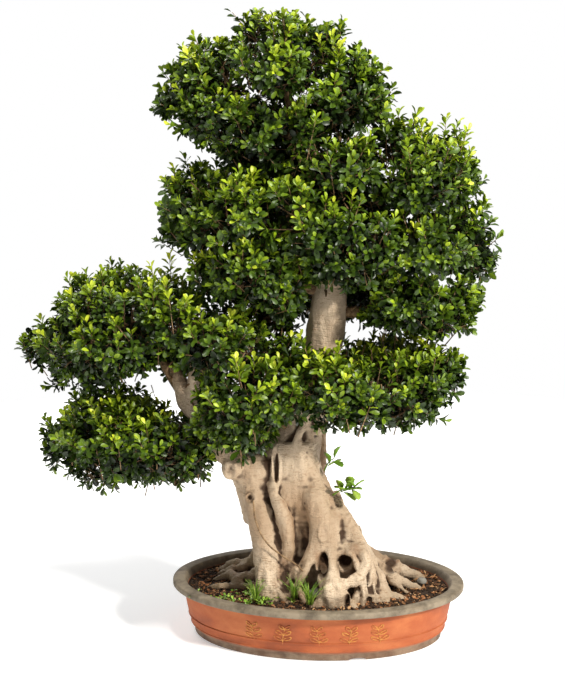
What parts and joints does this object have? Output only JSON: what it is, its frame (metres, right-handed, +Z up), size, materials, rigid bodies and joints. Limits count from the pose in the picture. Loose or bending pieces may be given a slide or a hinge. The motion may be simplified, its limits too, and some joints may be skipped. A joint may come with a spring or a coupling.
{
  "type": "potted bonsai tree",
  "caption": "Large leaning bonsai fig tree with exposed fused roots and dense leaf masses, in a low oval clay pot.",
  "frame": {"origin": "middle of the pot's underside, on the surface that the pot stands on", "axes": "+X along the pot's length, -Y towards the side with the ornament, +Z up"},
  "size_m": [0.9706, 0.461, 1.249],
  "materials": {
    "fired_clay": "matte fired clay, weathered grey on its rim and foot",
    "mesh_plastic": "black moulded mesh",
    "soil": "dark crumbly soil with bark chips",
    "bark": "smooth pale bark with fine lenticels",
    "leaf": "glossy dark green leaves",
    "young_leaf": "fresh light green leaves",
    "stone": "rough grey stone"
  },
  "bodies": {
    "root": {"drain_mesh_left": "mesh_plastic", "drain_mesh_right": "mesh_plastic", "grass_left": "young_leaf", "grass_middle": "young_leaf", "grass_right": "young_leaf", "leaves_back_high": "leaf", "leaves_back_low": "leaf", "leaves_centre_front": "leaf", "leaves_centre_high": "leaf", "leaves_crown_centre": "leaf", "leaves_crown_left": "leaf", "leaves_crown_right": "leaf", "leaves_crown_top": "leaf", "leaves_far_left": "leaf", "leaves_left_inner": "leaf", "leaves_left_middle": "leaf", "leaves_left_shelf": "leaf", "leaves_low_centre": "leaf", "leaves_low_left": "leaf", "leaves_right_high": "leaf", "leaves_right_low": "leaf", "leaves_right_middle": "leaf", "leaves_skirt": "leaf", "pot": "fired_clay", "soil": "soil", "sprout_lower": "young_leaf", "sprout_upper": "young_leaf", "stone_by_root": "stone", "stone_in_hollow": "stone", "trunk_and_branches": "bark"}
  },
  "joints": []
}
